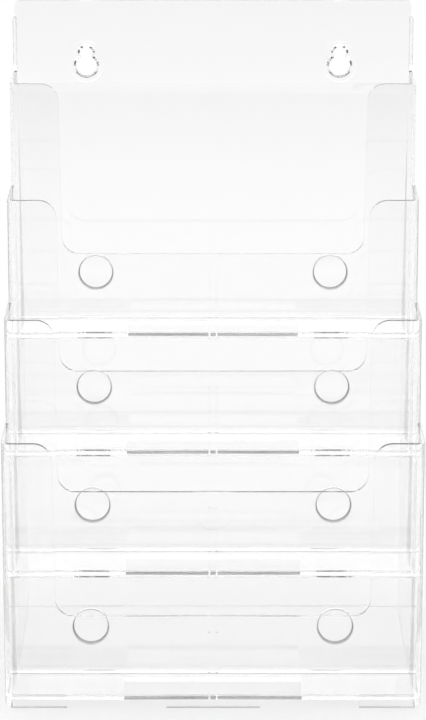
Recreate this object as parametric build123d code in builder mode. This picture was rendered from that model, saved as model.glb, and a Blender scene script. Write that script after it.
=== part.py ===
"""Four-tier clear literature holder, A4 size: stepped pocket modules, a hanging back panel and joining plugs.

+X is to the right, +Y to the rear and +Z up. The origin is on the table, at the centre of the footprint.
"""

import os

from build123d import *

# Whole body
body_width = 236.0
tier_names = ["front", "second", "third", "rear"]
tier_depth = 44.0
tier_rise = 59.5
foot_height = 5.0
fit_gap = 0.2

# Pocket module
front_wall = 2.5
floor_wall = 2.5
back_wall = 2.5
side_wall_top = 2.0
side_wall_foot = 4.2
pocket_height = 152.0
rear_wall_height = 144.5
rear_wall_taper = 6.0
rear_wall_edge = 0.4
plan_corner = 5.0
front_foot_corner = 4.0
front_foot_inside = 1.6
floor_fillet = 4.0

# Cut-out in each front wall
notch_sill = 51.0
notch_top_width = 180.0
notch_sill_width = 177.0
notch_corner = 10.0

# Window in each floor
window_width = 100.5
window_depth = 30.0
window_setback = 3.5

# Guide ribs for a loose divider
rib_spacing = 4.2
rib_width = 1.0
rib_depth = 1.2
front_rib_height = 41.0
rear_rib_height = 98.5

# Skirts that carry the raised tiers down to the table
skirt_wall = 4.0
riser_wall = 2.5
skirt_fillet = 3.0

# Feet under the front tray
outer_foot_width = 35.0
centre_foot_width = 53.0
foot_wall = 3.0
foot_setback = 3.5

# Joining plugs
plug_reach = 70.5
plug_height = 29.5
plug_diameter = 20.6
lip_diameter = 21.4
lip_thickness = 0.5
plug_chamfer = 0.8
hole_clearance = 0.2
lip_gap = 0.1

# Round gate mark on one front wall
gate_radius = 11.5
gate_recess = 0.4
gate_nub_radius = 1.2
gate_below_sill = 11.0

# Back panel
panel_thickness = 2.5
panel_height = 377.0
panel_top_width = 234.0
panel_shoulder = 367.5
panel_corner = 2.5
rim_wall = 2.0
rim_depth = 7.5
rim_corner = 6.0

# Keyholes in the back panel
keyhole_reach = 75.0
keyhole_height = 338.4
keyhole_rise = 7.5
keyhole_head_radius = 6.2
keyhole_neck_radius = 3.9
keyhole_rim_width = 3.4
keyhole_rim_proud = 2.5
keyhole_lead_in = 1.4

# Worked out from the sizes above
half_width = body_width / 2
tier_count = len(tier_names)
tray_reach = tier_count * tier_depth + back_wall
body_depth = tray_reach + panel_thickness
body_front = -body_depth / 2
panel_front = body_front + tray_reach
joint_grip = back_wall + fit_gap + riser_wall
panel_rear = body_front + body_depth
keyhole_circles = [(0.0, keyhole_head_radius), (keyhole_rise, keyhole_neck_radius)]


def block(low, high, mode=Mode.ADD):
    """Adds or cuts a box given by its lowest and highest corners."""
    size = [top - bottom for bottom, top in zip(low, high)]
    middle = [(bottom + top) / 2 for bottom, top in zip(low, high)]
    with Locations(tuple(middle)):
        Box(*size, mode=mode)


def facing_front(y):
    """A plane that looks to the front at depth y: its x is +X and its y is +Z."""
    return Plane.XZ.offset(-y)


def round_through(x, z, diameter, y_low, y_high):
    """Cuts a round hole along Y."""
    with BuildSketch(facing_front(y_low)) as outline:
        with Locations((x, z)):
            Circle(diameter / 2)
    extrude(outline.sketch, amount=-(y_high - y_low), mode=Mode.SUBTRACT)


def make_pocket(tier):
    """One pocket: a tray with a cut-out front, its low back wall and the skirt that carries it."""
    underside = foot_height + tier * tier_rise
    front = body_front + tier * tier_depth
    rear = front + tier_depth - fit_gap
    top = underside + pocket_height
    floor_top = underside + floor_wall
    rearmost = tier == tier_count - 1
    back_top = underside + (rear_wall_height if rearmost else tier_rise - fit_gap)
    rear_rib_top = underside + (rear_rib_height if rearmost else tier_rise - fit_gap)
    hole = plug_diameter + hole_clearance
    skirt_front = front + (back_wall if tier else plan_corner)
    riser_rear = front + joint_grip - fit_gap
    skirt_inside = half_width - skirt_wall

    with BuildPart() as pocket:
        # Outside of the tray
        with BuildSketch(Plane.XY.offset(underside)):
            with Locations((0, (front + rear) / 2)):
                Rectangle(body_width, rear - front)
        extrude(amount=pocket_height)
        fillet(pocket.edges().filter_by(Axis.Z).group_by(Axis.Y)[0], plan_corner)
        under_edges = pocket.faces().sort_by(Axis.Z)[0].edges().sort_by(Axis.Y)[:-1]
        fillet(under_edges, front_foot_corner)

        # Inside of the tray, with drafted side walls
        with BuildSketch(facing_front(front + front_wall)):
            with BuildLine():
                Polyline(
                    (side_wall_foot - half_width, floor_top),
                    (half_width - side_wall_foot, floor_top),
                    (half_width - side_wall_top, top),
                    (side_wall_top - half_width, top),
                    close=True,
                )
            make_face()
        extrude(amount=-(rear - front - front_wall), mode=Mode.SUBTRACT)

        # Low back wall, or the tall one of the rear pocket
        block((-half_width, rear, underside), (half_width, rear + back_wall, back_top))
        if rearmost:
            for side in (-1, 1):
                inner = side * (half_width - side_wall_top)
                outer = side * half_width
                block(
                    (min(inner, outer), rear, underside),
                    (max(inner, outer), rear + back_wall, top),
                )

            # The tall wall thins to a fine edge at the top, where sheets would catch on it
            taper_rear = rear + back_wall - rear_wall_edge
            with BuildSketch(Plane.YZ):
                with BuildLine():
                    Polyline(
                        (rear - 1, back_top - rear_wall_taper),
                        (rear, back_top - rear_wall_taper),
                        (taper_rear, back_top),
                        (taper_rear, back_top + 1),
                        (rear - 1, back_top + 1),
                        close=True,
                    )
                make_face()
            extrude(amount=half_width - side_wall_top, both=True, mode=Mode.SUBTRACT)

        # Inside corners between the floor and the walls
        floor_edges = (
            pocket.edges()
            .filter_by(Axis.X)
            .filter_by_position(Axis.Z, floor_top - 0.01, floor_top + 0.01)
            .sort_by(Axis.Y)
        )
        fillet(floor_edges[0], front_foot_inside)
        back_edge = (
            pocket.edges()
            .filter_by(Axis.X)
            .filter_by_position(Axis.Z, floor_top - 0.01, floor_top + 0.01)
            .sort_by(Axis.Y)[-1]
        )
        fillet(back_edge, floor_fillet)

        # Cut-out in the front wall
        with BuildSketch(facing_front(front - 1)):
            with BuildLine():
                Polyline(
                    (-notch_sill_width / 2, underside + notch_sill),
                    (notch_sill_width / 2, underside + notch_sill),
                    (notch_top_width / 2, top + 1),
                    (-notch_top_width / 2, top + 1),
                    close=True,
                )
            make_face()
        extrude(amount=-(front_wall + 2), mode=Mode.SUBTRACT)
        lips = pocket.edges().filter_by(Axis.Y).filter_by(lambda edge: edge.length < front_wall + 0.1)
        notch_edges = lips.filter_by(lambda edge: abs(edge.center().X) < notch_top_width / 2 + 1)
        fillet(notch_edges, notch_corner)

        # Window in the floor
        block(
            (-window_width / 2, front + window_setback, underside - 1),
            (window_width / 2, front + window_setback + window_depth, floor_top + 1),
            mode=Mode.SUBTRACT,
        )

        # Guide ribs on the inside of the front wall and on the back wall
        for side in (-1, 1):
            rib_low = side * rib_spacing / 2 - rib_width / 2
            rib_high = side * rib_spacing / 2 + rib_width / 2
            block(
                (rib_low, front + front_wall - 0.5, underside + floor_wall / 2),
                (rib_high, front + front_wall + rib_depth, underside + front_rib_height),
            )
            block(
                (rib_low, rear - rib_depth, underside + floor_wall / 2),
                (rib_high, rear + 0.5, rear_rib_top),
            )

        # Side skirts down to the table
        for side in (-1, 1):
            inner = side * skirt_inside
            outer = side * half_width
            block(
                (min(inner, outer), skirt_front, 0),
                (max(inner, outer), rear + back_wall, underside + front_foot_corner),
            )
        table_edges = (
            pocket.edges()
            .filter_by(Axis.Y)
            .filter_by_position(Axis.Z, -0.01, 0.01)
            .filter_by(lambda edge: abs(edge.center().X) > half_width - 0.01)
        )
        fillet(table_edges, skirt_fillet)

        # Riser behind the back wall of the tier in front, or the feet of the front tray
        if tier:
            block(
                (-skirt_inside - 0.5, riser_rear - riser_wall, underside - tier_rise),
                (skirt_inside + 0.5, riser_rear, underside + floor_wall / 2),
            )
        else:
            foot_front = front + foot_setback
            spans = [
                (-half_width + skirt_fillet, -half_width + outer_foot_width),
                (-centre_foot_width / 2, centre_foot_width / 2),
                (half_width - outer_foot_width, half_width - skirt_fillet),
            ]
            for left, right in spans:
                block((left, foot_front, 0), (right, foot_front + foot_wall, underside + floor_wall / 2))

        # Holes for the plugs
        for side in (-1, 1):
            round_through(side * plug_reach, underside + plug_height, hole, rear - 1, rear + back_wall + 1)
            if tier:
                joint_z = underside - tier_rise + plug_height
                round_through(side * plug_reach, joint_z, hole, front + 1, riser_rear + 1)

        # Gate mark of the moulding
        if tier == 1:
            gate_z = underside + notch_sill - gate_below_sill
            with BuildSketch(facing_front(front)):
                with Locations((0, gate_z)):
                    Circle(gate_radius)
                    Circle(gate_nub_radius, mode=Mode.SUBTRACT)
            extrude(amount=-gate_recess, mode=Mode.SUBTRACT)

    return pocket.part


def keyhole_outline(x, margin):
    """Outline of one keyhole, larger by a margin: a round head hole and a narrower neck above it."""
    for rise, radius in keyhole_circles:
        with Locations((x, keyhole_height + rise)):
            Circle(radius + margin)


def make_back_panel():
    """Tall rear panel that closes the rear pocket, with two keyholes to hang the holder by."""
    with BuildPart() as panel:
        block((-half_width, panel_front, 0), (half_width, panel_rear, panel_shoulder))
        block(
            (-panel_top_width / 2, panel_front, panel_shoulder - 1),
            (panel_top_width / 2, panel_rear, panel_height),
        )
        top_corners = panel.edges().filter_by(Axis.Y).group_by(Axis.Z)[-1]
        fillet(top_corners, panel_corner)

        # Rims along the upper sides
        rim_foot = foot_height + (tier_count - 1) * tier_rise + pocket_height + fit_gap
        for side in (-1, 1):
            with BuildSketch(Plane.YZ.offset(side * half_width)):
                with BuildLine():
                    Polyline(
                        (panel_front + 1, rim_foot),
                        (panel_front + 1, panel_shoulder),
                        (panel_front - rim_depth, panel_shoulder),
                        (panel_front - rim_depth, rim_foot),
                        close=True,
                    )
                make_face()
                rim_top = vertices().group_by(Axis.Y)[0].sort_by(Axis.Z)[-1]
                fillet(rim_top, rim_corner)
            extrude(amount=-side * rim_wall)

        # Keyholes, each inside a raised rim
        for side in (-1, 1):
            with BuildSketch(facing_front(panel_front + 0.5)):
                keyhole_outline(side * keyhole_reach, keyhole_rim_width)
            extrude(amount=keyhole_rim_proud + 0.5)
            with BuildSketch(facing_front(panel_front - keyhole_rim_proud - 1)):
                keyhole_outline(side * keyhole_reach, 0)
            extrude(amount=-(panel_thickness + keyhole_rim_proud + 2), mode=Mode.SUBTRACT)
            # Lead-in at the back, so that a screw's head finds the hole
            for rise, radius in keyhole_circles:
                with BuildSketch(facing_front(panel_rear - keyhole_lead_in)):
                    with Locations((side * keyhole_reach, keyhole_height + rise)):
                        Circle(radius)
                extrude(amount=-keyhole_lead_in, taper=-45, mode=Mode.SUBTRACT)

        # Holes for the rear pair of plugs
        joint_z = foot_height + (tier_count - 1) * tier_rise + plug_height
        for side in (-1, 1):
            hole = plug_diameter + hole_clearance
            round_through(side * plug_reach, joint_z, hole, panel_front - 1, panel_rear + 1)

    return panel.part


def make_plug(x, y, z):
    """Solid round plug through a joint at depth y, with a narrow lip in front; its rear end lies flush."""
    lip_front = y - lip_gap - lip_thickness
    with BuildPart() as plug:
        with BuildSketch(facing_front(lip_front)):
            with Locations((x, z)):
                Circle(lip_diameter / 2)
        extrude(amount=-lip_thickness)
        with BuildSketch(facing_front(lip_front)):
            with Locations((x, z)):
                Circle(plug_diameter / 2)
        extrude(amount=-(y + joint_grip - lip_front))
        chamfer(plug.faces().sort_by(Axis.Y)[-1].edges(), plug_chamfer)
    return plug.part


def save(part, name):
    """Names a finished piece and writes it."""
    part.label = name
    export_step(part, f"parts/{name}.step")


for tier, tier_name in enumerate(tier_names):
    save(make_pocket(tier), f"pocket_{tier_name}")
    wall_front = body_front + (tier + 1) * tier_depth - fit_gap
    centre_z = foot_height + tier * tier_rise + plug_height
    for side_name, side in (("left", -1), ("right", 1)):
        save(make_plug(side * plug_reach, wall_front, centre_z), f"plug_{tier_name}_{side_name}")

save(make_back_panel(), "back_panel")
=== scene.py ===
"""Clear four-tier literature rack in moulded polystyrene, on a white studio table.

The CAD model is the frame: it gives every size and place. The pockets and the back panel are copies of
its solids with their edges rounded as a mould leaves them, and the joining plugs are swept from one
profile and set in their eight holes by Geometry Nodes.
"""

import math

import bmesh
import bpy
from bpy.props import FloatProperty, FloatVectorProperty, IntProperty, PointerProperty
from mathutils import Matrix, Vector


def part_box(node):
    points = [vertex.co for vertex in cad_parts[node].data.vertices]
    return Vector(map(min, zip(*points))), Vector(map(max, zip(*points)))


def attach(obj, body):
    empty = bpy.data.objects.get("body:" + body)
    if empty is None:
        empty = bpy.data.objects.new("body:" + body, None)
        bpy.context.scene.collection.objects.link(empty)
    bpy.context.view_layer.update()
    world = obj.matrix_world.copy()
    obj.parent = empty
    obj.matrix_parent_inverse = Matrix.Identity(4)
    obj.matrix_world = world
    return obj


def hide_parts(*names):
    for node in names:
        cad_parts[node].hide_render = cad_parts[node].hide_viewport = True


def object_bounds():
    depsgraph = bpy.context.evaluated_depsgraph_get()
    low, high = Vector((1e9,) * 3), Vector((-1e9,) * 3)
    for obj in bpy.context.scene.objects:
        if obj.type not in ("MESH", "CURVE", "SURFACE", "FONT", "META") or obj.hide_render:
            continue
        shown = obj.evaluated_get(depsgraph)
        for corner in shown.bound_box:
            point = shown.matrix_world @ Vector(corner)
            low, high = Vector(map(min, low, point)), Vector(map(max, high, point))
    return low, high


bl_info = {
    "name": "Clear Literature Rack",
    "version": (1, 0, 0),
    "blender": (4, 5, 0),
    "location": "3D View > Sidebar > Rack",
    "description": "Builds a clear stepped literature rack and its studio",
    "category": "Add Mesh",
}

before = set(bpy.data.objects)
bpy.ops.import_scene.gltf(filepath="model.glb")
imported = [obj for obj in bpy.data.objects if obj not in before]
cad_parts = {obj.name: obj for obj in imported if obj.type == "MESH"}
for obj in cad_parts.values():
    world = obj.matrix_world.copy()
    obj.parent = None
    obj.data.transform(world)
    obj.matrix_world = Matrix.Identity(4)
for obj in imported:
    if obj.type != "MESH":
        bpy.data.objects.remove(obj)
CAD_BOX = [list(corner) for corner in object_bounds()]

MM = 0.001
TIERS = ("front", "second", "third", "rear")
SIDES = ("left", "right")

# Fixed by the plastic, by the mesh's precision and by how many walls stand one behind another
POLYSTYRENE_INDEX = 1.59
MERGE_DISTANCE = 0.001 * MM
FLAT_ANGLE = math.radians(0.3)
LIGHT_BOUNCES = 32


def centre(node):
    """Middle of a CAD node's box."""
    low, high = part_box(node)
    return (low + high) / 2


FIRST_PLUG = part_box("plug_front_left")
FIRST_CENTRE = centre("plug_front_left")
TIER_STEP = centre("plug_second_left") - FIRST_CENTRE


def linear(colour):
    """Linear red, green and blue of an sRGB hex colour."""
    channels = [int(colour[start : start + 2], 16) / 255 for start in (0, 2, 4)]
    return [c / 12.92 if c <= 0.04045 else ((c + 0.055) / 1.055) ** 2.4 for c in channels]


SHADOW_TINT = linear("FEFEFE")


def add(tree, kind, settings=None, inputs=None, links=None):
    """Adds a node, sets its properties and inputs, and links other nodes' outputs to its inputs."""
    node = tree.nodes.new(kind)
    for name, value in (settings or {}).items():
        setattr(node, name, value)
    for name, value in (inputs or {}).items():
        node.inputs[name].default_value = value
    for name, output in (links or {}).items():
        tree.links.new(output, node.inputs[name])
    return node


# ---------------------------------------------------------------- sizes and colours a user would change


class RackMouldingSettings(bpy.types.PropertyGroup):
    """Clear body mouldings."""

    edge_radius: FloatProperty(
        name="Edge radius",
        description="Radius that the mould leaves on every sharp edge",
        default=0.25 * MM,
        min=0.0,
        unit="LENGTH",
    )
    edge_segments: IntProperty(
        name="Edge segments",
        description="Flats across each rounded edge",
        default=3,
        min=1,
        max=6,
    )
    sharp_angle: FloatProperty(
        name="Sharp angle",
        description="Edges that turn more than this are rounded",
        default=math.radians(38),
        subtype="ANGLE",
    )
    tint: FloatVectorProperty(
        name="Tint",
        description="Colour that one wall gives the light passing through it",
        default=linear("FEFEFE"),
        size=3,
        min=0.0,
        max=1.0,
        subtype="COLOR",
    )
    roughness: FloatProperty(
        name="Roughness",
        description="Roughness of the polished mould",
        default=0.015,
        min=0.0,
        max=1.0,
        subtype="FACTOR",
    )
    index: FloatProperty(
        name="Refractive index",
        description="Refractive index of clear polystyrene",
        default=POLYSTYRENE_INDEX,
        min=1.0,
        max=2.0,
    )
    pocket_height: FloatProperty(
        name="Pocket height",
        description="Height of a pocket's side walls above its underside",
        default=152 * MM,
        unit="LENGTH",
    )
    floor_thickness: FloatProperty(
        name="Floor thickness",
        description="Thickness of a pocket's floor",
        default=2.5 * MM,
        unit="LENGTH",
    )
    window_setback: FloatProperty(
        name="Window setback",
        description="Distance from a pocket's front face to the window in its floor",
        default=3.5 * MM,
        unit="LENGTH",
    )
    # Painted shade: this grey stands in for the dark line that the clear window edge shows under the lights
    scuff_painted_shade: FloatVectorProperty(
        name="Scuffed edge",
        description="Colour of the window's front edge where the mould shuts against itself",
        default=linear("A0A0A0"),
        size=3,
        min=0.0,
        max=1.0,
        subtype="COLOR",
    )
    scuff_roughness: FloatProperty(
        name="Scuff roughness",
        description="Roughness of the scuffed edge",
        default=0.3,
        min=0.0,
        max=1.0,
        subtype="FACTOR",
    )
    streak_spacing: FloatProperty(
        name="Streak spacing",
        description="Distance between the streaks in the scuffed edge",
        default=0.7 * MM,
        min=0.01 * MM,
        unit="LENGTH",
    )
    streak_length: FloatProperty(
        name="Streak length",
        description="Length of the streaks in the scuffed edge",
        default=40 * MM,
        min=0.01 * MM,
        unit="LENGTH",
    )
    patch_length: FloatProperty(
        name="Handled patch",
        description="Width of the patches that handling leaves a little less glossy",
        default=22 * MM,
        min=1 * MM,
        unit="LENGTH",
    )
    ripple: FloatProperty(
        name="Flow ripple",
        description="Height of the faint waves that the melt leaves in the walls",
        default=0.003 * MM,
        min=0.0,
        unit="LENGTH",
    )
    ripple_length: FloatProperty(
        name="Ripple length",
        description="Distance between waves in the walls",
        default=38 * MM,
        min=1 * MM,
        unit="LENGTH",
    )


class RackPlugSettings(bpy.types.PropertyGroup):
    """Joining plugs."""

    lip_radius: FloatProperty(
        name="Lip radius",
        description="Radius of the narrow lip in front",
        default=(FIRST_PLUG[1].x - FIRST_PLUG[0].x) / 2,
        unit="LENGTH",
    )
    lip_thickness: FloatProperty(
        name="Lip thickness",
        description="Thickness of the narrow lip",
        default=0.5 * MM,
        unit="LENGTH",
    )
    plug_radius: FloatProperty(
        name="Plug radius",
        description="Radius of the plug where it fills its holes",
        default=10.3 * MM,
        unit="LENGTH",
    )
    chamfer: FloatProperty(
        name="Chamfer",
        description="Width of the chamfer round the plug's rear end",
        default=0.8 * MM,
        unit="LENGTH",
    )
    edge_radius: FloatProperty(
        name="Edge radius",
        description="Rounding of the plug's edges",
        default=0.12 * MM,
        unit="LENGTH",
    )
    # Painted shade: this grey stands in for the dark ring that the plug's clear side shows under the lights
    rim_painted_shade: FloatVectorProperty(
        name="Rim",
        description="Colour of the plug's side where the tool and the solvent have dulled it",
        default=linear("6C6C6C"),
        size=3,
        min=0.0,
        max=1.0,
        subtype="COLOR",
    )
    rim_roughness: FloatProperty(
        name="Rim roughness",
        description="Roughness of the plug's dulled side",
        default=0.45,
        min=0.0,
        max=1.0,
        subtype="FACTOR",
    )
    mark_spacing: FloatProperty(
        name="Mark spacing",
        description="Distance between the turning marks along the plug",
        default=0.3 * MM,
        min=0.01 * MM,
        unit="LENGTH",
    )
    mark_length: FloatProperty(
        name="Mark length",
        description="Length of the turning marks round the plug",
        default=4 * MM,
        min=0.01 * MM,
        unit="LENGTH",
    )
    segments: IntProperty(
        name="Segments",
        description="Flats round the plug",
        default=96,
        min=16,
        max=256,
    )


class RackStudioSettings(bpy.types.PropertyGroup):
    """Table, light and camera."""

    table_colour: FloatVectorProperty(
        name="Table",
        description="Colour of the table top",
        default=linear("E7E7E7"),
        size=3,
        min=0.0,
        max=1.0,
        subtype="COLOR",
    )
    table_reach: FloatProperty(
        name="Table reach",
        description="Distance from the rack to the edge of the table top",
        default=20.0,
        unit="LENGTH",
    )
    sky_strength: FloatProperty(
        name="Overhead strength",
        description="Brightness of the overhead diffuser",
        default=1.45,
        min=0.0,
    )
    horizon_strength: FloatProperty(
        name="Horizon strength",
        description="Brightness of the room at eye level",
        default=0.15,
        min=0.0,
    )
    backdrop_strength: FloatProperty(
        name="Backdrop strength",
        description="Brightness of the backdrop where the camera sees it directly",
        default=1.0,
        min=0.0,
    )
    # Painted shade on the table that only its reflections in the walls show
    lit_reach: FloatProperty(
        name="Lit reach",
        description="Distance to which the mirrored table keeps its full brightness",
        default=0.8,
        unit="LENGTH",
    )
    dark_reach: FloatProperty(
        name="Dark reach",
        description="Distance from which the mirrored table is at its darkest",
        default=2.6,
        unit="LENGTH",
    )
    mirror_dimming: FloatProperty(
        name="Mirror dimming",
        description="Share of its brightness that the mirrored table loses at its darkest",
        default=0.85,
        min=0.0,
        max=1.0,
        subtype="FACTOR",
    )
    camera_distance: FloatProperty(
        name="Camera distance",
        description="Distance from the rack's front face to the camera",
        default=1.746,
        unit="LENGTH",
    )
    camera_height: FloatProperty(
        name="Camera height",
        description="Height of the camera above the table",
        default=0.675,
        unit="LENGTH",
    )
    camera_pitch: FloatProperty(
        name="Camera pitch",
        description="Angle that the camera looks down by",
        default=math.radians(15.05),
        subtype="ANGLE",
    )
    focal_length: FloatProperty(
        name="Focal length",
        description="Focal length in millimetres on a 36 mm sensor",
        default=164.1,
        min=1.0,
    )


# ---------------------------------------------------------------- materials


def shadow_lets_light_through(tree, surface):
    """Joins a surface to the output and lets light reach what is behind it with a little loss."""
    path = add(tree, "ShaderNodeLightPath")
    clear = add(tree, "ShaderNodeBsdfTransparent", inputs={"Color": (*SHADOW_TINT, 1)})
    mixed = add(
        tree,
        "ShaderNodeMixShader",
        links={0: path.outputs["Is Shadow Ray"], 1: surface.outputs[0], 2: clear.outputs[0]},
    )
    add(tree, "ShaderNodeOutputMaterial", links={"Surface": mixed.outputs[0]})


def clear_polystyrene(name, settings, roughness):
    """Clear polystyrene from a polished mould: a hard, glassy wall that shows mostly at its edges."""
    material = bpy.data.materials.new(name)
    material.use_nodes = True
    tree = material.node_tree
    tree.nodes.clear()
    place = add(tree, "ShaderNodeTexCoord")

    # Long waves where the melt cooled unevenly bend what is seen through a wall by a hair
    waves = add(
        tree,
        "ShaderNodeTexNoise",
        inputs={"Scale": 1 / settings.ripple_length, "Detail": 1.0, "Roughness": 0.4},
        links={"Vector": place.outputs["Object"]},
    )
    ripple = add(
        tree,
        "ShaderNodeBump",
        inputs={"Strength": 1.0, "Distance": settings.ripple},
        links={"Height": waves.outputs["Fac"]},
    )

    # Handling leaves patches a few centimetres wide that are slightly less glossy
    handled = add(
        tree,
        "ShaderNodeTexNoise",
        inputs={"Scale": 1 / settings.patch_length, "Detail": 3.0, "Roughness": 0.55},
        links={"Vector": place.outputs["Object"]},
    )
    gloss = add(
        tree,
        "ShaderNodeMapRange",
        inputs={"From Min": 0.45, "From Max": 0.8, "To Min": roughness, "To Max": roughness * 3},
        links={"Value": handled.outputs["Fac"]},
    )
    wall = add(
        tree,
        "ShaderNodeBsdfPrincipled",
        inputs={
            "Base Color": (*settings.tint, 1),
            "Transmission Weight": 1.0,
            "IOR": settings.index,
        },
        links={"Roughness": gloss.outputs["Result"], "Normal": ripple.outputs["Normal"]},
    )
    shadow_lets_light_through(tree, wall)
    return material


def polystyrene_with_painted_shade(name, colour, roughness, spacing):
    """Polystyrene dulled by steel: satin grey with fine streaks, spaced as given along each axis; the grey
    is painted shade.
    """
    material = bpy.data.materials.new(name)
    material.use_nodes = True
    tree = material.node_tree
    tree.nodes.clear()
    place = add(tree, "ShaderNodeTexCoord")

    # The streaks are close together across the steel's path and long along it
    stretched = add(
        tree,
        "ShaderNodeMapping",
        inputs={"Scale": [1 / distance for distance in spacing]},
        links={"Vector": place.outputs["Object"]},
    )
    marks = add(
        tree,
        "ShaderNodeTexNoise",
        inputs={"Scale": 1.0, "Detail": 2.0},
        links={"Vector": stretched.outputs["Vector"]},
    )
    dullness = add(
        tree,
        "ShaderNodeMapRange",
        inputs={"To Min": roughness * 0.8, "To Max": roughness * 1.2},
        links={"Value": marks.outputs["Fac"]},
    )

    # A deeper streak scatters more light and looks paler
    depth = add(
        tree,
        "ShaderNodeMapRange",
        inputs={"From Min": 0.35, "From Max": 0.65},
        links={"Value": marks.outputs["Fac"]},
    )
    shade = add(
        tree,
        "ShaderNodeMix",
        settings={"data_type": "RGBA"},
        inputs={
            "A": (*[channel * 0.7 for channel in colour], 1),
            "B": (*[channel * 1.3 for channel in colour], 1),
        },
        links={"Factor": depth.outputs["Result"]},
    )
    side = add(
        tree,
        "ShaderNodeBsdfPrincipled",
        inputs={"Transmission Weight": 0.5, "IOR": POLYSTYRENE_INDEX},
        links={"Base Color": shade.outputs["Result"], "Roughness": dullness.outputs["Result"]},
    )
    shadow_lets_light_through(tree, side)
    return material


# ---------------------------------------------------------------- clear mouldings


def plain_mesh(source, name):
    """Turns what a source object's modifiers give into a piece with a plain mesh."""
    graph = bpy.context.evaluated_depsgraph_get()
    mesh = bpy.data.meshes.new_from_object(source.evaluated_get(graph), depsgraph=graph)
    mesh.name = name
    bpy.data.objects.remove(source)
    piece = bpy.data.objects.new(name, mesh)
    bpy.context.scene.collection.objects.link(piece)
    return piece


def scuff_and_shade_window_edge(shape, node, settings):
    """Gives the second material, whose grey is painted shade, to the front edge of the window in a pocket's
    floor.

    Nothing else that looks to the rear lies at the window's setback within the floor's thickness.
    """
    low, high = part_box(node)
    edge = low.y + settings.window_setback
    underside = high.z - settings.pocket_height
    for face in shape.faces:
        middle = face.calc_center_median()
        on_edge = abs(middle.y - edge) < 0.1 * MM and face.normal.y > 0.9
        if on_edge and underside < middle.z < underside + settings.floor_thickness:
            face.material_index = 1


def moulded_copy(node, name, materials, settings):
    """Copies a CAD solid as one closed mesh and rounds its sharp edges."""
    shape = bmesh.new()
    shape.from_mesh(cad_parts[node].data)
    bmesh.ops.remove_doubles(shape, verts=shape.verts, dist=MERGE_DISTANCE)
    bmesh.ops.dissolve_limit(
        shape,
        angle_limit=FLAT_ANGLE,
        verts=shape.verts,
        edges=shape.edges,
    )
    if len(materials) > 1:
        scuff_and_shade_window_edge(shape, node, settings)
    bmesh.ops.bevel(
        shape,
        geom=[edge for edge in shape.edges if edge.calc_face_angle(0) > settings.sharp_angle],
        offset=settings.edge_radius,
        segments=settings.edge_segments,
        profile=0.5,
        affect="EDGES",
        clamp_overlap=True,
    )
    mesh = bpy.data.meshes.new(name)
    shape.to_mesh(mesh)
    shape.free()
    for material in materials:
        mesh.materials.append(material)
    mesh.shade_smooth()
    mesh.set_sharp_from_angle(angle=settings.sharp_angle)
    source = bpy.data.objects.new(name, mesh)
    bpy.context.scene.collection.objects.link(source)
    flatten = source.modifiers.new("Flat walls", "WEIGHTED_NORMAL")
    flatten.mode = "FACE_AREA"
    flatten.weight = 100
    flatten.keep_sharp = True
    return plain_mesh(source, name)


class RACK_OT_pockets(bpy.types.Operator):
    """Build the four clear pocket mouldings"""

    bl_idname = "rack.pockets"
    bl_label = "Pockets"

    def execute(self, context):
        settings = context.scene.rack_moulding
        clear = clear_polystyrene("clear_moulded_polystyrene", settings, settings.roughness)
        # The window's front edge gets a satin grey whose grey is painted shade
        scuffed = polystyrene_with_painted_shade(
            "mould_scuffed_painted_shade_polystyrene",
            settings.scuff_painted_shade,
            settings.scuff_roughness,
            (settings.streak_length, settings.streak_length, settings.streak_spacing),
        )
        for tier in TIERS:
            node = f"pocket_{tier}"
            piece = moulded_copy(node, f"clear_pocket_{tier}", (clear, scuffed), settings)
            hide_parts(node)
            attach(piece, "root")
        return {"FINISHED"}


class RACK_OT_back_panel(bpy.types.Operator):
    """Build the clear back panel with its keyholes"""

    bl_idname = "rack.back_panel"
    bl_label = "Back Panel"

    def execute(self, context):
        settings = context.scene.rack_moulding
        clear = clear_polystyrene("clear_sheet_polystyrene", settings, settings.roughness)
        piece = moulded_copy("back_panel", "clear_back_panel", (clear,), settings)
        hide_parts("back_panel")
        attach(piece, "root")
        return {"FINISHED"}


# ---------------------------------------------------------------- joining plugs


def plug_profile(settings):
    """Half outline of a plug from axis to axis: x is out from the axis and y runs from front to rear."""
    length = FIRST_PLUG[1].y - FIRST_PLUG[0].y
    points = [
        (0, 0),
        (settings.lip_radius, 0),
        (settings.lip_radius, settings.lip_thickness),
        (settings.plug_radius, settings.lip_thickness),
        (settings.plug_radius, length - settings.chamfer),
        (settings.plug_radius - settings.chamfer, length),
        (0, length),
    ]
    curve = bpy.data.curves.new("plug_profile", "CURVE")
    curve.dimensions = "3D"
    spline = curve.splines.new("POLY")
    spline.points.add(len(points) - 1)
    for point, (out, along) in zip(spline.points, points):
        point.co = (out, along, 0, 1)
    return curve


PLUG_LENGTHS = ("Edge radius", "Reach", "First depth", "First height", "Tier depth", "Tier rise")
PLUG_COUNTS = ("Segments", "Tiers")
PLUG_MATERIALS = ("Clear", "Rim")
AXIS_RADIUS = 0.0001 * MM


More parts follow.
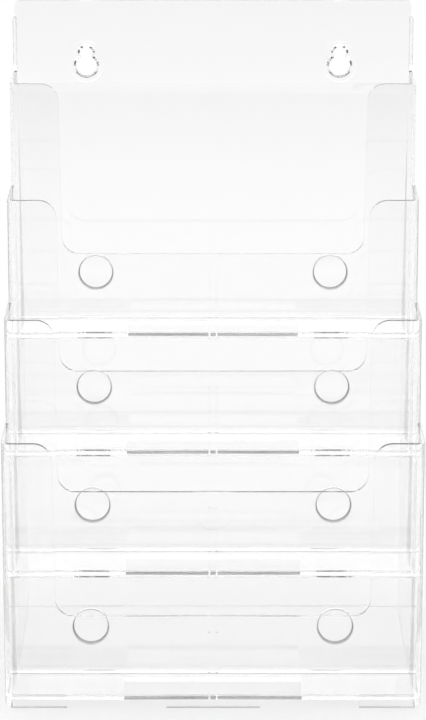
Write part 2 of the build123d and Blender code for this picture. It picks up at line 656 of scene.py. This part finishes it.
def plug_tree():
    """Geometry Nodes that turn the profile round its axis and set one plug in each hole."""
    tree = bpy.data.node_groups.new("Plugs", "GeometryNodeTree")
    interface = tree.interface
    interface.new_socket("Profile", in_out="INPUT", socket_type="NodeSocketGeometry")
    for name in PLUG_LENGTHS:
        interface.new_socket(name, in_out="INPUT", socket_type="NodeSocketFloat")
    for name in PLUG_COUNTS:
        interface.new_socket(name, in_out="INPUT", socket_type="NodeSocketInt")
    for name in PLUG_MATERIALS:
        interface.new_socket(name, in_out="INPUT", socket_type="NodeSocketMaterial")
    interface.new_socket("Plugs", in_out="OUTPUT", socket_type="NodeSocketGeometry")
    given = add(tree, "NodeGroupInput").outputs

    # One plug: its outline, rounded at the edges and turned, with its axis along Y
    outline = add(
        tree,
        "GeometryNodeFilletCurve",
        settings={"mode": "POLY"},
        inputs={"Count": 4, "Limit Radius": True},
        links={"Curve": given["Profile"], "Radius": given["Edge radius"]},
    )
    turn = add(
        tree,
        "GeometryNodeCurvePrimitiveCircle",
        inputs={"Radius": AXIS_RADIUS},
        links={"Resolution": given["Segments"]},
    )
    turned = add(
        tree,
        "GeometryNodeCurveToMesh",
        links={"Curve": turn.outputs["Curve"], "Profile Curve": outline.outputs["Curve"]},
    )
    plug = add(
        tree,
        "GeometryNodeTransform",
        inputs={"Rotation": (math.pi / 2, 0, 0)},
        links={"Geometry": turned.outputs["Mesh"]},
    )

    # One place on each tier, a step back and up from the last, and the same again on the other side
    first = add(tree, "ShaderNodeCombineXYZ", links={"Y": given["First depth"], "Z": given["First height"]})
    step = add(tree, "ShaderNodeCombineXYZ", links={"Y": given["Tier depth"], "Z": given["Tier rise"]})
    places = add(
        tree,
        "GeometryNodeMeshLine",
        links={
            "Count": given["Tiers"],
            "Start Location": first.outputs["Vector"],
            "Offset": step.outputs["Vector"],
        },
    )
    both = add(tree, "GeometryNodeJoinGeometry")
    for side in (-1, 1):
        reach = add(
            tree,
            "ShaderNodeMath",
            settings={"operation": "MULTIPLY"},
            inputs={1: side},
            links={0: given["Reach"]},
        )
        sideways = add(tree, "ShaderNodeCombineXYZ", links={"X": reach.outputs["Value"]})
        column = add(
            tree,
            "GeometryNodeSetPosition",
            links={"Geometry": places.outputs["Mesh"], "Offset": sideways.outputs["Vector"]},
        )
        tree.links.new(column.outputs["Geometry"], both.inputs["Geometry"])
    placed = add(
        tree,
        "GeometryNodeInstanceOnPoints",
        links={"Points": both.outputs["Geometry"], "Instance": plug.outputs["Geometry"]},
    )
    solid = add(tree, "GeometryNodeRealizeInstances", links={"Geometry": placed.outputs["Instances"]})
    clear = add(
        tree,
        "GeometryNodeSetMaterial",
        links={"Geometry": solid.outputs["Geometry"], "Material": given["Clear"]},
    )

    # The side and the chamfer get the dulled material, whose grey is painted shade, and the two flat ends
    # stay clear
    facing = add(tree, "GeometryNodeInputNormal")
    parts = add(tree, "ShaderNodeSeparateXYZ", links={"Vector": facing.outputs["Normal"]})
    along = add(
        tree,
        "ShaderNodeMath",
        settings={"operation": "ABSOLUTE"},
        links={0: parts.outputs["Y"]},
    )
    dulled = add(
        tree,
        "ShaderNodeMath",
        settings={"operation": "LESS_THAN"},
        inputs={1: 0.9},
        links={0: along.outputs["Value"]},
    )
    finished = add(
        tree,
        "GeometryNodeSetMaterial",
        links={
            "Geometry": clear.outputs["Geometry"],
            "Selection": dulled.outputs["Value"],
            "Material": given["Rim"],
        },
    )
    add(tree, "NodeGroupOutput", links={"Plugs": finished.outputs["Geometry"]})
    return tree


def set_inputs(modifier, values):
    """Sets a Geometry Nodes modifier's inputs by their sockets' identifiers."""
    for item in modifier.node_group.interface.items_tree:
        if item.name in values:
            modifier[item.identifier] = values[item.name]


def face_outwards(mesh):
    """Merges doubles and points every face out of its closed shell."""
    shape = bmesh.new()
    shape.from_mesh(mesh)
    bmesh.ops.remove_doubles(shape, verts=shape.verts, dist=MERGE_DISTANCE)
    bmesh.ops.recalc_face_normals(shape, faces=shape.faces)
    shape.to_mesh(mesh)
    shape.free()


class RACK_OT_plugs(bpy.types.Operator):
    """Build the eight joining plugs"""

    bl_idname = "rack.plugs"
    bl_label = "Plugs"

    def execute(self, context):
        settings = context.scene.rack_plug
        moulding = context.scene.rack_moulding
        clear = clear_polystyrene("clear_turned_polystyrene", moulding, moulding.roughness * 2)
        # The plug's side gets a satin grey whose grey is painted shade
        rim = polystyrene_with_painted_shade(
            "solvent_dulled_painted_shade_polystyrene",
            settings.rim_painted_shade,
            settings.rim_roughness,
            (settings.mark_length, settings.mark_spacing, settings.mark_length),
        )
        source = bpy.data.objects.new("plug_profile", plug_profile(settings))
        context.scene.collection.objects.link(source)
        modifier = source.modifiers.new("Plugs", "NODES")
        modifier.node_group = plug_tree()
        set_inputs(
            modifier,
            {
                "Edge radius": settings.edge_radius,
                "Reach": abs(FIRST_CENTRE.x),
                "First depth": FIRST_PLUG[0].y,
                "First height": FIRST_CENTRE.z,
                "Tier depth": TIER_STEP.y,
                "Tier rise": TIER_STEP.z,
                "Segments": settings.segments,
                "Tiers": len(TIERS),
                "Clear": clear,
                "Rim": rim,
            },
        )
        piece = plain_mesh(source, "clear_plugs")
        face_outwards(piece.data)
        piece.data.shade_smooth()
        piece.data.set_sharp_from_angle(angle=moulding.sharp_angle)
        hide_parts(*(f"plug_{tier}_{side}" for tier in TIERS for side in SIDES))
        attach(piece, "root")
        return {"FINISHED"}


# ---------------------------------------------------------------- stage


def white_table(settings):
    """Matt white laminate table top: an even pale ground with the faintest mottle, and painted shade where
    the walls mirror it.
    """
    material = bpy.data.materials.new("matt_white_laminate")
    material.use_nodes = True
    tree = material.node_tree
    tree.nodes.clear()
    place = add(tree, "ShaderNodeTexCoord")
    mottle = add(
        tree,
        "ShaderNodeTexNoise",
        inputs={"Scale": 1 / (60 * MM), "Detail": 2.0},
        links={"Vector": place.outputs["Object"]},
    )
    gloss = add(
        tree,
        "ShaderNodeMapRange",
        inputs={"To Min": 0.62, "To Max": 0.7},
        links={"Value": mottle.outputs["Fac"]},
    )
    top = add(
        tree,
        "ShaderNodeBsdfPrincipled",
        inputs={"Base Color": (*settings.table_colour, 1), "Specular IOR Level": 0.2},
        links={"Roughness": gloss.outputs["Result"]},
    )

    # Painted shade standing in for an unlit room: what the walls mirror of the table darkens in front and
    # at the sides
    parts = add(tree, "ShaderNodeSeparateXYZ", links={"Vector": place.outputs["Object"]})
    forwards = add(
        tree,
        "ShaderNodeMath",
        settings={"operation": "MINIMUM"},
        inputs={1: 0.0},
        links={0: parts.outputs["Y"]},
    )
    away = add(
        tree,
        "ShaderNodeCombineXYZ",
        links={"X": parts.outputs["X"], "Y": forwards.outputs["Value"]},
    )
    distance = add(
        tree,
        "ShaderNodeVectorMath",
        settings={"operation": "LENGTH"},
        links={0: away.outputs["Vector"]},
    )
    pool = add(
        tree,
        "ShaderNodeMapRange",
        settings={"interpolation_type": "SMOOTHSTEP"},
        inputs={
            "From Min": settings.lit_reach,
            "From Max": settings.dark_reach,
            "To Max": settings.mirror_dimming,
        },
        links={"Value": distance.outputs["Value"]},
    )
    path = add(tree, "ShaderNodeLightPath")
    once = add(
        tree,
        "ShaderNodeMath",
        settings={"operation": "MINIMUM"},
        inputs={1: 1.0},
        links={0: path.outputs["Glossy Depth"]},
    )
    mirrored = add(
        tree,
        "ShaderNodeMath",
        settings={"operation": "MULTIPLY"},
        links={0: pool.outputs["Result"], 1: once.outputs["Value"]},
    )
    dim = add(tree, "ShaderNodeBsdfDiffuse", inputs={"Color": (0, 0, 0, 1)})
    mixed = add(
        tree,
        "ShaderNodeMixShader",
        links={0: mirrored.outputs["Value"], 1: top.outputs[0], 2: dim.outputs[0]},
    )
    add(tree, "ShaderNodeOutputMaterial", links={"Surface": mixed.outputs[0]})
    return material


def studio_world(settings):
    """A white room, bright overhead and behind, that darkens at eye level in front and at the sides.

    The camera sees it directly as an even white backdrop.
    """
    world = bpy.data.worlds.new("studio")
    world.use_nodes = True
    tree = world.node_tree
    tree.nodes.clear()
    place = add(tree, "ShaderNodeTexCoord")
    parts = add(tree, "ShaderNodeSeparateXYZ", links={"Vector": place.outputs["Generated"]})
    raised = add(
        tree,
        "ShaderNodeMapRange",
        settings={"interpolation_type": "SMOOTHSTEP"},
        inputs={"From Min": 0.35, "From Max": 0.7},
        links={"Value": parts.outputs["Z"]},
    )
    behind = add(
        tree,
        "ShaderNodeMapRange",
        settings={"interpolation_type": "SMOOTHSTEP"},
        inputs={"From Min": 0.1, "From Max": 0.5},
        links={"Value": parts.outputs["Y"]},
    )
    lit = add(
        tree,
        "ShaderNodeMath",
        settings={"operation": "MAXIMUM"},
        links={0: raised.outputs["Result"], 1: behind.outputs["Result"]},
    )
    strength = add(
        tree,
        "ShaderNodeMapRange",
        inputs={"To Min": settings.horizon_strength, "To Max": settings.sky_strength},
        links={"Value": lit.outputs["Value"]},
    )
    path = add(tree, "ShaderNodeLightPath")
    room = add(
        tree,
        "ShaderNodeBackground",
        inputs={"Color": (1, 1, 1, 1)},
        links={"Strength": strength.outputs["Result"]},
    )
    seen = add(
        tree,
        "ShaderNodeBackground",
        inputs={"Color": (1, 1, 1, 1), "Strength": settings.backdrop_strength},
    )
    mixed = add(
        tree,
        "ShaderNodeMixShader",
        links={0: path.outputs["Is Camera Ray"], 1: room.outputs[0], 2: seen.outputs[0]},
    )
    add(tree, "ShaderNodeOutputWorld", links={"Surface": mixed.outputs[0]})
    return world


class RACK_OT_stage(bpy.types.Operator):
    """Build the table, the light and the camera"""

    bl_idname = "rack.stage"
    bl_label = "Stage"

    def execute(self, context):
        scene = context.scene
        settings = scene.rack_studio
        reach = settings.table_reach
        mesh = bpy.data.meshes.new("table_top")
        corners = [(-reach, -reach, 0), (reach, -reach, 0), (reach, reach, 0), (-reach, reach, 0)]
        mesh.from_pydata(corners, [], [(0, 1, 2, 3)])
        mesh.materials.append(white_table(settings))
        table = bpy.data.objects.new("table_top", mesh)
        scene.collection.objects.link(table)

        scene.world = studio_world(settings)
        scene.view_settings.view_transform = "Standard"
        scene.cycles.max_bounces = LIGHT_BOUNCES
        scene.cycles.glossy_bounces = LIGHT_BOUNCES
        scene.cycles.transmission_bounces = LIGHT_BOUNCES
        scene.cycles.transparent_max_bounces = LIGHT_BOUNCES

        lens = bpy.data.cameras.new("camera")
        lens.lens = settings.focal_length
        lens.sensor_width = 36
        lens.clip_end = 60
        camera = bpy.data.objects.new("camera", lens)
        scene.collection.objects.link(camera)
        front = CAD_BOX[0][1]
        camera.location = (0, front - settings.camera_distance, settings.camera_height)
        camera.rotation_euler = (math.pi / 2 - settings.camera_pitch, 0, 0)
        scene.camera = camera
        return {"FINISHED"}


# ---------------------------------------------------------------- sidebar and registration


class RACK_PT_sidebar(bpy.types.Panel):
    """Clear literature rack"""

    bl_idname = "RACK_PT_sidebar"
    bl_label = "Clear Literature Rack"
    bl_space_type = "VIEW_3D"
    bl_region_type = "UI"
    bl_category = "Rack"

    def draw(self, context):
        layout = self.layout
        for group, operators in PANEL_ROWS:
            settings = getattr(context.scene, group)
            box = layout.box()
            for name in settings.bl_rna.properties.keys():
                if name not in ("rna_type", "name"):
                    box.prop(settings, name)
            for operator in operators:
                box.operator(operator.bl_idname)


SETTINGS = {
    "rack_moulding": RackMouldingSettings,
    "rack_plug": RackPlugSettings,
    "rack_studio": RackStudioSettings,
}
PANEL_ROWS = (
    ("rack_moulding", (RACK_OT_pockets, RACK_OT_back_panel)),
    ("rack_plug", (RACK_OT_plugs,)),
    ("rack_studio", (RACK_OT_stage,)),
)
CLASSES = (
    *SETTINGS.values(),
    RACK_OT_pockets,
    RACK_OT_back_panel,
    RACK_OT_plugs,
    RACK_OT_stage,
    RACK_PT_sidebar,
)


def register():
    """Registers the classes and gives each scene its settings."""
    for item in CLASSES:
        bpy.utils.register_class(item)
    for name, group in SETTINGS.items():
        setattr(bpy.types.Scene, name, PointerProperty(type=group))


def unregister():
    """Takes away what register added."""
    for name in SETTINGS:
        delattr(bpy.types.Scene, name)
    for item in reversed(CLASSES):
        bpy.utils.unregister_class(item)


def main():
    """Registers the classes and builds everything."""
    register()
    bpy.ops.rack.pockets()
    bpy.ops.rack.back_panel()
    bpy.ops.rack.plugs()
    bpy.ops.rack.stage()


if __name__ == "__main__":
    main()
